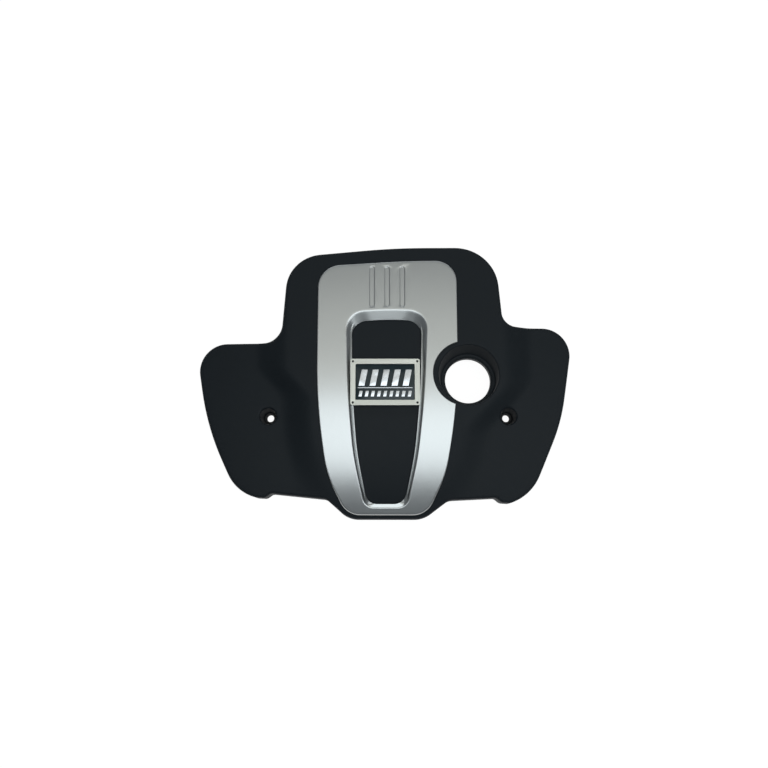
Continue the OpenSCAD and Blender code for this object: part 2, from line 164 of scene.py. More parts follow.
def outline(corners, facets, cuts):
    """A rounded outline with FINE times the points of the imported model's."""
    n = len(corners)
    arcs = [corner_arc(corners[i - 1], corners[i], corners[(i + 1) % n], facets[i] * FINE)
            for i in range(n)]
    ring = []
    for i in range(n):
        (a, normal), (b, _) = arcs[i][-1], arcs[(i + 1) % n][0]
        ring += arcs[i]
        pieces = (cuts[i] + 1) * FINE
        ring += [(a.lerp(b, j / pieces), normal) for j in range(1, pieces)]
    return ring


shell_ring = outline(SHELL_CORNERS, SHELL_FACETS, SHELL_CUTS)
trim_ring = outline(TRIM_CORNERS, TRIM_FACETS, TRIM_CUTS)
window_ring = outline(WINDOW_CORNERS, TRIM_FACETS, TRIM_CUTS)
panel_ring = outline(PANEL_CORNERS, TRIM_FACETS, TRIM_CUTS)
print("points in a ring:", len(shell_ring), len(trim_ring))

# %% [markdown]
# From these four outlines come all the others: moved outwards, blended with a partner or shrunk
# towards the window's middle, and then laid on the surface or at a height.

# %% Outlines from outlines
WINDOW_MID = Vector((3, -40))
POCKET_SHARE = 0.3


def grown(ring, grow):
    """The outline moved outwards."""
    return [(point + normal * grow, normal) for point, normal in ring]


def between(ring_a, ring_b, share):
    return [(a.lerp(b, share), normal) for (a, normal), (b, _) in zip(ring_a, ring_b)]


def shrunk(ring, share):
    return [(WINDOW_MID.lerp(point, share), normal) for point, normal in ring]


def on_top(ring, lift):
    """The outline laid on the surface, or at a height above it that may vary with y."""
    return [Vector((p.x, p.y, top_z(p.x, p.y) + (lift(p.y) if callable(lift) else lift)))
            for p, _ in ring]


def at_z(ring, z):
    return [Vector((p.x, p.y, z)) for p, _ in ring]


pocket_ring = between(window_ring, panel_ring, POCKET_SHARE)
window_x = [point.x for point, _ in window_ring]
print("the window is", round(max(window_x) - min(window_x), 1), "mm wide")

# %% [markdown]
# ## Lofting by extrusion
# A skin over rings is made as by hand: a circle is added, its points are laid on the first ring,
# and it is extruded again and again, each time laid on the next ring. The points carry their
# number in the circle, and an extruded point inherits it, so each finds its place.


# %% Selecting and lofting
def deselect():
    if bpy.context.object and bpy.context.object.mode != "OBJECT":
        bpy.ops.object.mode_set(mode="OBJECT")
    bpy.ops.object.select_all(action="DESELECT")


def activate(piece):
    deselect()
    piece.select_set(True)
    bpy.context.view_layer.objects.active = piece


def lay(piece, ring):
    """Puts the selected points on a ring that is given in millimetres."""
    mesh = bmesh.from_edit_mesh(piece.data)
    number = mesh.verts.layers.int["number"]
    for corner in mesh.verts:
        if corner.select:
            corner.co = ring[corner[number]] * MM
    bmesh.update_edit_mesh(piece.data)


def loft(name, rings, looped=False):
    """A closed skin over rings, with its two ends filled, or joined if it is looped."""
    deselect()
    bpy.ops.mesh.primitive_circle_add(vertices=len(rings[0]), radius=0.1)
    piece = bpy.context.object
    piece.name = name
    bpy.ops.object.mode_set(mode="EDIT")
    mesh = bmesh.from_edit_mesh(piece.data)
    number = mesh.verts.layers.int.new("number")
    for place, corner in enumerate(mesh.verts):
        corner[number] = place
    lay(piece, rings[0])
    for ring in rings[1:] + (rings[:1] if looped else []):
        bpy.ops.mesh.extrude_region_move()
        lay(piece, ring)
    bpy.ops.mesh.select_all(action="SELECT")
    if looped:
        bpy.ops.mesh.remove_doubles(threshold=0.000001)
    else:
        bpy.ops.mesh.fill_holes(sides=0)
    bpy.ops.mesh.normals_make_consistent(inside=False)
    bpy.ops.object.mode_set(mode="OBJECT")
    piece.data.attributes.remove(piece.data.attributes["number"])
    return piece


# %% Modifiers and smooth faces
def apply_modifier(piece, kind, **settings):
    activate(piece)
    modifier = piece.modifiers.new("step", kind)
    for key, value in settings.items():
        setattr(modifier, key, value)
    bpy.ops.object.modifier_apply(modifier=modifier.name)


def combine(piece, others, operation):
    """Joins others to a piece, or cuts them from it, and removes them."""
    for other in others:
        apply_modifier(piece, "BOOLEAN", operation=operation, solver="MANIFOLD", object=other)
        bpy.data.objects.remove(other)


def smooth_faces(piece, degrees=32):
    activate(piece)
    bpy.ops.object.shade_smooth_by_angle(angle=math.radians(degrees))


def report(piece):
    print(piece.name, "has", len(piece.data.polygons), "faces")


# %% [markdown]
# ## The shell's skin
# The moulding has one wall all over, so its skin is drawn as a single closed sheet: from the
# middle of the sunk panel outwards under the skin, round the rim of the skirt, and back over the
# top. The edge between top and skirt is an arc, because a moulding has no sharp edge.

# %% Draw the skin
SKIN = 3
WALL_SPREAD = 1.2
EDGE_R, EDGE_STEPS = 4, 6
SKIRT_FLARE = 0.69
POCKET_DEPTH = 6
TOP_RINGS, UNDER_RINGS = 34, 12
FLOOR_SHARES = [0.04, 0.15, 0.3, 0.45, 0.6, 0.75, 0.88]


def face_rings(drop, flank_rings):
    """One face of the skin from the panel's middle to the edge, sunk by a drop."""
    spread = drop * WALL_SPREAD
    rings = [on_top(shrunk(panel_ring, share), -POCKET_DEPTH - drop) for share in FLOOR_SHARES]
    rings.append(on_top(grown(panel_ring, spread), -POCKET_DEPTH - drop))
    rings.append(on_top(grown(pocket_ring, spread), -POCKET_DEPTH - drop))
    rings.append(on_top(grown(window_ring, spread), -drop))
    inner, edge = grown(trim_ring, -drop), grown(shell_ring, -EDGE_R - drop)
    for i in range(flank_rings + 1):
        rings.append(on_top(between(inner, edge, i / flank_rings), -drop))
    return rings


def edge_rings():
    """The arc from the top down to the skirt."""
    rings = []
    for step in range(1, EDGE_STEPS + 1):
        way = math.pi / 2 * step / EDGE_STEPS
        rings.append(on_top(grown(shell_ring, -EDGE_R * (1 - math.sin(way))),
                            -EDGE_R * (1 - math.cos(way))))
    return rings


shell = loft("shell", face_rings(SKIN, UNDER_RINGS)
             + [on_top(grown(shell_ring, -SKIN), -EDGE_R - SKIN),
                at_z(grown(shell_ring, SKIRT_FLARE - SKIN), 0),
                at_z(grown(shell_ring, SKIRT_FLARE), 0)]
             + (face_rings(0, TOP_RINGS) + edge_rings())[::-1])
report(shell)

# %% [markdown]
# ## What stands under the skin
# The dish of the filler opening, the bolt wells, the bosses under the trim's studs, the sockets
# of the rubber buffers and the ribs are lofts and boxes that end inside the skin. They are joined
# to it, because on the real cover they are one moulding.

# %% Sizes of what stands under the skin
FILLER = Vector((122.5, 1))
FILLER_D, DISH_D, DISH_RIM_D = 67, 80, 88
DISH_DRIFT = Vector((-0.5, 6.5))
LEDGE_Z, COLLAR_H, COLLAR_ROUND = 44, 12, 1
BOLT_MID, BOLT_SPACING, BOLT_Y = 5.6, 350, -51.8
BOLTS = [Vector((BOLT_MID + side * BOLT_SPACING / 2, BOLT_Y)) for side in (-1, 1)]
WELL_D, WELL_FLOOR_D, WELL_DEPTH = 26, 17.4, 25
WELL_WALL, WELL_ROUND = 2.4, 0.8
STUDS = [(-84, 128), (92, 134), (-84, 4), (-74, -92), (84, -92), (-78, 70)]
BOSS_R, BOSS_DROP = 9, 2
BUFFERS = [(-118, 140), (138, 150)]
SOCKET_D, SOCKET_Z = 26, CROWN_H - 34
RIB_T, RIB_H, RIB_CUTS = 2, 9, 24
RIBS = [(-122, -148, -122, 50), (-204, -140, -204, 46), (206, -140, 206, 70),
        (118, -150, 118, -62), (-228, -110, -84, -110), (92, -110, 228, -110),
        (-258, 22, -106, 22), (-140, 118, BADGE_LEFT - 15.2, 118),
        (BADGE_RIGHT + 16.8, 118, 162, 118), (-136, 164, 160, 164)]
SEAT_IN_SKIN = 1.4
SMALL_RING, SOCKET_RING, WELL_RING, DISH_RING = 48, 64, 96, 128
print("bolts", BOLT_SPACING, "mm apart;", len(STUDS), "studs,", len(RIBS), "ribs")


# %% Rings and ribs under the skin
def circle(middle, radius, z, count):
    """A level ring; z is a height or a function of the place."""
    ring = []
    for i in range(count):
        way = 2 * math.pi * i / count
        x = middle.x + radius * math.cos(way)
        y = middle.y + radius * math.sin(way)
        ring.append(Vector((x, y, z(x, y) if callable(z) else z)))
    return ring


def in_skin(x, y):
    return top_z(x, y) - SEAT_IN_SKIN


def dish_wall(wall, lift):
    """The ring where the dish's wall, which widens and drifts as it rises, meets the surface."""
    ring = []
    for i in range(DISH_RING):
        way = 2 * math.pi * i / DISH_RING
        out = Vector((math.cos(way), math.sin(way)))
        z = CROWN_H
        for _ in range(12):
            up = (z - LEDGE_Z) / (CROWN_H - LEDGE_Z)
            radius = (DISH_D + (DISH_RIM_D - DISH_D) * up) / 2 + wall
            place = FILLER + DISH_DRIFT * up + out * radius
            z = top_z(place.x, place.y) + lift
        ring.append(Vector((place.x, place.y, z)))
    return ring


def rib(x0, y0, x1, y1):
    """A rib along x or y whose lower edge follows the skin."""
    deselect()
    bpy.ops.mesh.primitive_cube_add(size=1, location=((x0 + x1) / 2 * MM, (y0 + y1) / 2 * MM, 0))
    piece = bpy.context.object
    bpy.ops.transform.resize(value=(max(abs(x1 - x0), RIB_T) * MM, max(abs(y1 - y0), RIB_T) * MM, 1))
    bpy.ops.object.transform_apply(location=True, rotation=True, scale=True)
    bpy.ops.object.mode_set(mode="EDIT")
    mesh = bmesh.from_edit_mesh(piece.data)
    long_axis = 0 if abs(x1 - x0) > abs(y1 - y0) else 1
    for edge in mesh.edges:
        edge.select_set(abs((edge.verts[0].co - edge.verts[1].co)[long_axis]) > 0.01)
    bpy.ops.mesh.subdivide(number_cuts=RIB_CUTS)
    mesh = bmesh.from_edit_mesh(piece.data)
    for corner in mesh.verts:
        x, y = corner.co.x / MM, corner.co.y / MM
        drop = SEAT_IN_SKIN if corner.co.z > 0 else SKIN + RIB_H
        corner.co.z = (top_z(x, y) - drop) * MM
    bpy.ops.object.mode_set(mode="OBJECT")
    return piece


# %% Join them to the skin
def well(bolt):
    surface = top_z(bolt.x, bolt.y)
    floor = surface - WELL_DEPTH - SKIN
    return loft("well", [
        circle(bolt, WELL_FLOOR_D / 2 + WELL_WALL - WELL_ROUND, floor, WELL_RING),
        circle(bolt, WELL_FLOOR_D / 2 + WELL_WALL, floor + WELL_ROUND, WELL_RING),
        circle(bolt, WELL_D / 2 + WELL_WALL, surface - SKIN, WELL_RING),
        circle(bolt, WELL_D / 2 + WELL_WALL, in_skin, WELL_RING)])


def post(name, place, radius, low, count):
    """A round post from a height up into the skin."""
    return loft(name, [circle(Vector(place), radius, low, count),
                       circle(Vector(place), radius, in_skin, count)])


under_ledge = LEDGE_Z - SKIN
dish = loft("dish", [
    circle(FILLER, FILLER_D / 2 + SKIN, LEDGE_Z - COLLAR_H, DISH_RING),
    circle(FILLER, FILLER_D / 2 + SKIN, under_ledge, DISH_RING),
    circle(FILLER, DISH_D / 2 + SKIN - COLLAR_ROUND, under_ledge, DISH_RING),
    circle(FILLER, DISH_D / 2 + SKIN, under_ledge + COLLAR_ROUND, DISH_RING),
    dish_wall(SKIN, -SEAT_IN_SKIN)])
wells = [well(bolt) for bolt in BOLTS]
bosses = [post("boss", place, BOSS_R, top_z(*place) - SKIN - BOSS_DROP, SMALL_RING)
          for place in STUDS]
sockets = [post("socket", place, SOCKET_D / 2, SOCKET_Z, SOCKET_RING) for place in BUFFERS]
ribs = [rib(*ends) for ends in RIBS]
combine(shell, [dish] + wells + bosses + sockets + ribs, "UNION")
report(shell)

# %% [markdown]
# ## Openings with a round lip
# A hole in a moulding has a round lip. The tool that cuts it therefore opens out towards the
# surface along an arc, and since the surface is not level, each point of that arc takes its
# height from the surface beside it.

# %% The cutting tools
LIP_TURN, LIP_STEPS, LIP_FLARE = math.radians(68), 5, 0.6
STEP_W, STEP_DEPTH, STEP_ROUND, STEP_CORNER = 2, 1.6, 0.8, 0.3
LEDGE_ROUND, DISH_LIP = 2, 2
GROMMET_HOLE_D, WELL_CORNER, WELL_LIP, WELL_LIP_STEP = 13.6, 0.6, 2.5, 1.2
ROUND_STEPS = 4
TOOL_HEAD = 20


def lip(wall, middle, radius):
    """Rings that open out from a wall's ring to the surface and end above it."""
    rings = []
    for step in range(1, LIP_STEPS + 1):
        way = LIP_TURN * step / LIP_STEPS
        ring = []
        for point in wall:
            out = Vector((point.x, point.y)) - middle
            place = Vector((point.x, point.y)) + out.normalized() * radius * (1 - math.cos(way))
            surface = top_z(place.x, place.y)
            ring.append(Vector((place.x, place.y, point.z + (surface - point.z) * math.sin(way))))
        rings.append(ring)
    last = []
    for point in rings[-1]:
        out = (Vector((point.x, point.y)) - middle).normalized() * radius
        last.append(point + Vector((out.x, out.y, radius * LIP_FLARE)))
    return rings + [last, [point + Vector((0, 0, TOOL_HEAD)) for point in last]]


def filler_tool():
    """The collar's bore, the ledge, the dish's wall and its lip."""
    bore, ledge = FILLER_D / 2, DISH_D / 2
    step_z = LEDGE_Z - STEP_DEPTH
    rings = [circle(FILLER, bore, LEDGE_Z - COLLAR_H - 2, DISH_RING),
             circle(FILLER, bore, step_z - STEP_ROUND, DISH_RING),
             circle(FILLER, bore + STEP_ROUND, step_z, DISH_RING),
             circle(FILLER, bore + STEP_W - STEP_CORNER, step_z, DISH_RING)]
    ways = [math.pi / 2 * step / ROUND_STEPS for step in range(ROUND_STEPS + 1)]
    rings += [circle(FILLER, bore + STEP_W + STEP_ROUND * (1 - math.cos(way)),
                     LEDGE_Z - STEP_ROUND + STEP_ROUND * math.sin(way), DISH_RING)
              for way in ways]
    rings += [circle(FILLER, ledge - LEDGE_ROUND + LEDGE_ROUND * math.sin(way),
                     LEDGE_Z + LEDGE_ROUND - LEDGE_ROUND * math.cos(way), DISH_RING)
              for way in ways]
    wall = dish_wall(0, -DISH_LIP)
    return loft("filler_tool", rings + [wall] + lip(wall, FILLER + DISH_DRIFT, DISH_LIP))


def well_tool(bolt):
    floor = top_z(bolt.x, bolt.y) - WELL_DEPTH
    rings = [circle(bolt, GROMMET_HOLE_D / 2, floor - SKIN - 1, WELL_RING),
             circle(bolt, GROMMET_HOLE_D / 2, floor, WELL_RING),
             circle(bolt, WELL_FLOOR_D / 2 - WELL_CORNER, floor, WELL_RING),
             circle(bolt, WELL_FLOOR_D / 2, floor + WELL_CORNER, WELL_RING)]
    wall = circle(bolt, WELL_D / 2 - WELL_LIP_STEP, lambda x, y: top_z(x, y) - WELL_LIP, WELL_RING)
    return loft("well_tool", rings + [wall] + lip(wall, bolt, WELL_LIP))


def straight_tool(place, diameter, low, high):
    return loft("bore", [circle(Vector(place), diameter / 2, low, SMALL_RING),
                         circle(Vector(place), diameter / 2, high, SMALL_RING)])


# %% [markdown]
# The badge stands on a pad in the sunk panel. The pad is a box that is tilted towards the front,
# as the badge is. It is joined to the shell before the openings are cut.

# %% Raise the badge's pad
PAD_H, BADGE_TILT = 5, 3
PAD_W, PAD_D, PAD_T = BADGE_W - 12, BADGE_D - 4, PAD_H + SKIN / 2
seat_z = top_z(BADGE_X, BADGE_Y) - POCKET_DEPTH + PAD_H
pad_rise = Matrix.Translation(Vector((BADGE_X, BADGE_Y, seat_z)) * MM)
badge_seat = pad_rise @ Matrix.Rotation(math.radians(BADGE_TILT), 4, "X")
deselect()
bpy.ops.mesh.primitive_cube_add(size=1)
pad = bpy.context.object
bpy.ops.transform.resize(value=(PAD_W * MM, PAD_D * MM, PAD_T * MM))
bpy.ops.object.transform_apply(scale=True)
pad.data.transform(Matrix.Translation((0, 0, -PAD_T / 2 * MM)))
pad.data.transform(badge_seat)
combine(shell, [pad], "UNION")
report(shell)

# %% Cut the openings
STUD_HOLE_D, SOCKET_BORE_D, SOCKET_BORE_L = 5.8, 20, 16
tools = [filler_tool()] + [well_tool(bolt) for bolt in BOLTS]
tools += [straight_tool(place, STUD_HOLE_D, 0, CROWN_H + 9) for place in STUDS]
tools += [straight_tool(place, SOCKET_BORE_D, 0, SOCKET_Z + SOCKET_BORE_L) for place in BUFFERS]
combine(shell, tools, "DIFFERENCE")
smooth_faces(shell)
report(shell)

# %% [markdown]
# ## The trim frame
# The trim is a moulded strip, silver painted, that lies on the shell and dips into the window as
# a bevel with a thin lip along the panel. Its section is drawn once as a row of rings and runs
# right round. The ridge between top and bevel is rounded, because it catches the light there.
# At the two ends of the window the lip fades out, and the bevel runs down to the panel. A ring
# close beside each rounding keeps the shading of the wide top flat.

# %% Sizes of the trim's section, with shares of the way from the window's edge to the panel's
TRIM_RISE, TRIM_GAP = 3, 0.3
TRIM_EDGE_R, NOSE_EDGE_MORE, NOSE_EDGE_Y, NOSE_EDGE_L = 1.2, 1.4, -140, 40
TRIM_EDGE_STEPS = 5
TOP_SHARES = [0.03, 0.13, 0.25, 0.38, 0.5, 0.63, 0.75, 0.87, 0.97, 1]
RIDGE = [(1.6, 0), (0.9, -0.1), (0.2, -0.35)]
BEVEL_TOP = TRIM_RISE - 0.8
BEVEL_START, BEVEL_SHARE, BEVEL_STEPS = 0.06, 0.52, 4
LIP_DEPTH, VALLEY, VALLEY_SHARE, TRIM_LIP_STEPS = 2.4, 1, 0.63, 8
REAR_END_Y, REAR_END_L = 74, 18
FRONT_END_Y, FRONT_END_L = -150, 30
REAR_FOOT, FRONT_FOOT, CORNER_FOOT = -3.7, 0.8, -5.4
CORNER_X, REAR_CORNER_W, FRONT_CORNER_W = 22, 24, 12
SWELL, SWELL_Y, SWELL_L = 0.9, 10, 50
BACK_SHARES = [0.35, 0.04]
BACK_RINGS = 6
print("the trim rises", TRIM_RISE, "mm, and its lip lies", LIP_DEPTH, "mm deep")


# %% Draw the section round the window
def bevel_ring(share, lift):
    """A ring on the bevel, which at both ends of the window runs straight, without a lip."""
    ring = []
    for (a, _), (b, _) in zip(window_ring, panel_ring):
        straight = (smooth((a.y - REAR_END_Y) / REAR_END_L)
                    + smooth((FRONT_END_Y - a.y) / FRONT_END_L))
        swell = SWELL * smooth((a.y - SWELL_Y) / SWELL_L) * (1 - straight) * share * (1 - share)
        place = a.lerp(b, share + swell)
        foot, width = (REAR_FOOT, REAR_CORNER_W) if a.y > 0 else (FRONT_FOOT, FRONT_CORNER_W)
        foot += (CORNER_FOOT - foot) * smooth((abs(a.x - WINDOW_MID.x) - CORNER_X) / width)
        slope = BEVEL_TOP + (foot - BEVEL_TOP) * (share - BEVEL_START) / (1 - BEVEL_START)
        height = lift + (slope - lift) * straight
        ring.append(Vector((place.x, place.y, top_z(place.x, place.y) + height)))
    return ring


def edge_r(y):
    """Radius of the trim's outer edge, which grows towards the nose."""
    return TRIM_EDGE_R + NOSE_EDGE_MORE * smooth((NOSE_EDGE_Y - y) / NOSE_EDGE_L)


def drawn_in(share):
    """The trim's outline moved inwards by a share of its edge radius."""
    return [(point - normal * edge_r(point.y) * share, normal) for point, normal in trim_ring]


def outer_edge():
    rings = [on_top(trim_ring, TRIM_GAP)]
    for step in range(TRIM_EDGE_STEPS + 1):
        way = math.pi / 2 * step / TRIM_EDGE_STEPS
        sag = 1 - math.sin(way)
        rings.append(on_top(drawn_in(1 - math.cos(way)), lambda y: TRIM_RISE - edge_r(y) * sag))
    return rings


def bevel_and_lip():
    foot = -LIP_DEPTH - VALLEY
    bevel = [bevel_ring(BEVEL_START + BEVEL_SHARE * step / BEVEL_STEPS,
                        BEVEL_TOP + (foot - BEVEL_TOP) * step / BEVEL_STEPS)
             for step in range(BEVEL_STEPS + 1)]
    middle, half = (1 + VALLEY_SHARE) / 2, (1 - VALLEY_SHARE) / 2
    ways = [math.pi * step / TRIM_LIP_STEPS for step in range(TRIM_LIP_STEPS + 1)]
    return bevel + [bevel_ring(middle - half * math.cos(way), foot + VALLEY * math.sin(way))
                    for way in ways]


def trim_section():
    window_side = grown(window_ring, RIDGE[0][0])
    top = [on_top(between(drawn_in(1), window_side, share), TRIM_RISE) for share in TOP_SHARES]
    ridge = [on_top(grown(window_ring, grow), TRIM_RISE + lift) for grow, lift in RIDGE[1:]]
    back = [on_top(panel_ring, TRIM_GAP - POCKET_DEPTH),
            on_top(between(window_ring, panel_ring, BACK_SHARES[0]), TRIM_GAP - POCKET_DEPTH),
            on_top(between(window_ring, panel_ring, BACK_SHARES[1]), TRIM_GAP)]
    back += [on_top(between(window_ring, trim_ring, i / BACK_RINGS), TRIM_GAP)
             for i in range(1, BACK_RINGS)]
    return outer_edge() + top + ridge + bevel_and_lip() + back


trim = loft("trim", trim_section(), looped=True)
report(trim)

# %% [markdown]
# The trim gives way to the filler's dish with a round cut-out, and three shallow grooves mark its
# rear. Both are cut with tools that open out at the top, which leaves a small chamfer. A groove's
# floor has a second ring inside its border, so that it is shaded flat.

# %% Cut the cut-out and the grooves, and add the studs
CUTOUT_R, CUTOUT_FLARE, CUTOUT_RING = 47, 1, 192
CUTOUT = Vector((117.2, 8.2))
GROOVE_W, GROOVE_FLOOR_W, GROOVE_DEPTH = 7.5, 6.3, 1.5
GROOVE_L, GROOVE_PITCH, GROOVE_Y = 62, 22.3, 138
GROOVE_ROUND = 16
STUD_D, STUD_L = 5, 8


def capsule(x, z, grow):
    """A level ring with round ends, as wide as a groove."""
    radius, half = GROOVE_W / 2 + grow, (GROOVE_L - GROOVE_W) / 2
    ring = []
    for end in (1, -1):
        for i in range(GROOVE_ROUND):
            way = math.pi * i / (GROOVE_ROUND - 1) + (0 if end == 1 else math.pi)
            ring.append(Vector((x + radius * math.cos(way),
                                GROOVE_Y + end * half + radius * math.sin(way), z)))
    return ring


def groove_tool(x):
    """Its section is a row of heights, each with how far the ring stands outside the groove."""
    top = CROWN_H + TRIM_RISE
    floor = top - GROOVE_DEPTH
    foot = (GROOVE_FLOOR_W - GROOVE_W) / 2
    section = [(floor, foot - 1.2), (floor, foot - 0.3), (floor + 0.08, foot),
               (floor + 0.3, foot + 0.3), (top - 0.3, -0.25), (top - 0.06, 0.1),
               (top + 0.1, 0.7), (top + 4, 0.7)]
    return loft("groove_tool", [capsule(x, z, grow) for z, grow in section])


def cutout_tool():
    low, high = TRIM_RISE - CUTOUT_FLARE / 2, TRIM_RISE + CUTOUT_FLARE / 2
    wide = CUTOUT_R + CUTOUT_FLARE
    return loft("cutout_tool", [
        circle(CUTOUT, CUTOUT_R, 20, CUTOUT_RING),
        circle(CUTOUT, CUTOUT_R, lambda x, y: top_z(x, y) + low, CUTOUT_RING),
        circle(CUTOUT, wide, lambda x, y: top_z(x, y) + high, CUTOUT_RING),
        circle(CUTOUT, wide, CROWN_H + TOOL_HEAD, CUTOUT_RING)])


studs = [straight_tool(place, STUD_D, top_z(*place) - SKIN - STUD_L, top_z(*place) + 1)
         for place in STUDS]
grooves = [groove_tool(AXIS_X + side * GROOVE_PITCH) for side in (-1, 0, 1)]
combine(trim, studs, "UNION")
combine(trim, [cutout_tool()] + grooves, "DIFFERENCE")
smooth_faces(trim)
report(trim)

# %% [markdown]
# ## The badge
# Its frame, panel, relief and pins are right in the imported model. A copy of each is merged, the
# flat faces are dissolved, and the edges get a small bevel, since it is the round edges of such a
# small piece that catch the light.


# %% Bevelled copies of small pieces
def rounded_copy(node, width, segments=2):
    """A copy of a node whose edges are rounded by a width in millimetres."""
    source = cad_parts[node]
    piece = bpy.data.objects.new(node + "_fine", source.data.copy())
    bpy.context.scene.collection.objects.link(piece)
    piece.data.materials.clear()
    activate(piece)
    bpy.ops.object.mode_set(mode="EDIT")
    bpy.ops.mesh.select_all(action="SELECT")
    bpy.ops.mesh.remove_doubles(threshold=0.00001)
    bpy.ops.mesh.dissolve_limited(angle_limit=math.radians(1))
    bpy.ops.object.mode_set(mode="OBJECT")
    apply_modifier(piece, "BEVEL", width=width * MM, segments=segments, limit_method="ANGLE",
                   angle_limit=math.radians(40))
    smooth_faces(piece, 40)
    report(piece)
    return piece


frame_fine = rounded_copy("badge_frame", 0.7, 3)
panel_fine = rounded_copy("badge_panel", 0.3)
relief_fine = rounded_copy("badge_relief", 0.6, 4)
pins_fine = rounded_copy("badge_pins", 0.4)

# %% [markdown]
# ## Shader maths
# A small class wraps a socket and lets Python's operators add the Math nodes, so that a pattern
# reads as a formula. Any other node comes from one method that takes its type, its settings and
# the values or links of its sockets.


# %% Sockets as values
class Socket:
    def __init__(self, shader, output):
        self.shader = shader
        self.output = output

    def math(self, operation, a, b):
        return self.shader.node("ShaderNodeMath", {"operation": operation}, {0: a, 1: b})

    def __add__(self, other):
        return self.math("ADD", self, other)

    def __radd__(self, other):
        return self.math("ADD", other, self)

    def __mul__(self, other):
        return self.math("MULTIPLY", self, other)

    def __rmul__(self, other):
        return self.math("MULTIPLY", other, self)


# %% A material as it is described
class Shader:
    """A material whose nodes are added as it is described."""

    def __init__(self, name):
        self.material = bpy.data.materials.new(name)
        self.material.use_nodes = True
        self.tree = self.material.node_tree
        self.tree.nodes.clear()
        self.place = self.node("ShaderNodeTexCoord", {}, {}, "Object")

    def node(self, kind, settings, values, output=0):
        made = self.tree.nodes.new(kind)
        for key, value in settings.items():
            setattr(made, key, value)
        for key, value in values.items():
            if isinstance(value, Socket):
                self.tree.links.new(value.output, made.inputs[key])
            else:
                made.inputs[key].default_value = value
        return Socket(self, made.outputs[output])

    def noise(self, scale, detail, stretch=None):
        """Noise from 0 to 1 whose spots are about 1/scale metres wide."""
        place = self.place
        if stretch:
            place = self.node("ShaderNodeMapping", {}, {"Vector": place, "Scale": stretch})
        return self.node("ShaderNodeTexNoise", {}, {"Vector": place, "Scale": scale, "Detail": detail})

    def mix(self, share, dark, light):
        return self.node("ShaderNodeMix", {"data_type": "RGBA"},
                         {0: share, 6: (*dark, 1), 7: (*light, 1)}, 2)

    def bump(self, height, distance):
        return self.node("ShaderNodeBump", {}, {"Height": height, "Distance": distance}, "Normal")

    def finish(self, surface):
        """Links the surface to the output and returns the material."""
        out = self.tree.nodes.new("ShaderNodeOutputMaterial")
        self.tree.links.new(surface.output, out.inputs["Surface"])
        return self.material

    def principled(self, **values):
        """Finishes with a Principled surface: base_color stands for Base Color, and so on."""
        names = {key: key.replace("_", " ").title().replace("Ior", "IOR") for key in values}
        return self.finish(self.node("ShaderNodeBsdfPrincipled", {},
                                     {names[key]: value for key, value in values.items()}))


# %% [markdown]
# ## The shell's plastic
# The shell is glass-filled black plastic with a fine spark-eroded grain. A fine bump gives the
# grain, and large faint patches in colour and gloss keep the wide dark faces from looking dead.
# Its specular level is low, because the grain scatters most of what a smooth face would reflect.


# %% Black grained plastic
def grained_plastic():
    shader = Shader("black_grained_plastic")
    grain = shader.noise(scale=1400, detail=3)
    patches = shader.noise(scale=14, detail=3)
    return shader.principled(
        base_color=shader.mix(patches, dark=(0.0066, 0.0099, 0.0127), light=(0.0090, 0.0131, 0.0165)),
        roughness=0.5 + 0.1 * patches, specular_ior_level=0.19,
        normal=shader.bump(grain, distance=0.0001))


# %% [markdown]
# ## The trim's paint
# The trim has a silver paint whose metal flakes break the highlight up a little. Tiny spots in
# colour and bump stand for the flakes. Its roughness changes very little, because a wide soft
# highlight shows every change.


# %% Silver paint
def silver_paint():
    shader = Shader("silver_paint")
    flakes = shader.noise(scale=2600, detail=2)
    clouds = shader.noise(scale=9, detail=2)
    return shader.principled(
        base_color=shader.mix(flakes, dark=(0.46, 0.475, 0.47), light=(0.56, 0.575, 0.57)),
        metallic=0.95, roughness=0.278 + 0.02 * clouds, normal=shader.bump(flakes, distance=0.00002))


# %% [markdown]
# ## The badge's finishes
# The frame is a warm satin paint. The plate is dark and glossy with faint streaks, and the relief
# is chromed. Chrome shows only what it mirrors, so slow waves in its bump give each bar a
# gradient, as the slightly crowned face of a real one does.


# %% Satin paint, dark gloss and chrome
def cream_paint():
    shader = Shader("warm_satin_paint")
    grain = shader.noise(scale=1600, detail=2)
    return shader.principled(
        base_color=shader.mix(grain, dark=(0.76, 0.765, 0.68), light=(0.86, 0.865, 0.78)),
        metallic=0.15, roughness=0.38, normal=shader.bump(grain, distance=0.00003))


def dark_gloss():
    shader = Shader("dark_glossy_panel")
    streaks = shader.noise(scale=60, detail=3)
    return shader.principled(
        base_color=shader.mix(streaks, dark=(0.010, 0.018, 0.021), light=(0.022, 0.040, 0.046)),
        roughness=0.08 + 0.1 * streaks, specular_ior_level=0.35)


def chromed():
    shader = Shader("chromed_relief")
    haze = shader.noise(scale=220, detail=2)
    waves = shader.noise(scale=45, detail=1)
    return shader.principled(
        base_color=shader.mix(haze, dark=(0.52, 0.55, 0.58), light=(0.70, 0.72, 0.74)),
        metallic=1.0, roughness=0.16 + 0.12 * haze, normal=shader.bump(waves, distance=0.0022))


# %% [markdown]
# ## Rubber and spring steel
# The grommets, the buffers and the small pins are dull and a little dusty. The washers under the
# trim are rolled steel, so their noise is stretched along the strip.


# %% Moulded rubber and spring steel
def moulded_rubber():
    shader = Shader("moulded_rubber")
    grain = shader.noise(scale=900, detail=2)
    dust = shader.noise(scale=70, detail=3)
    return shader.principled(
        base_color=shader.mix(dust, dark=(0.014, 0.014, 0.014), light=(0.03, 0.03, 0.029)),
        roughness=0.68 + 0.16 * grain, normal=shader.bump(grain, distance=0.00008))


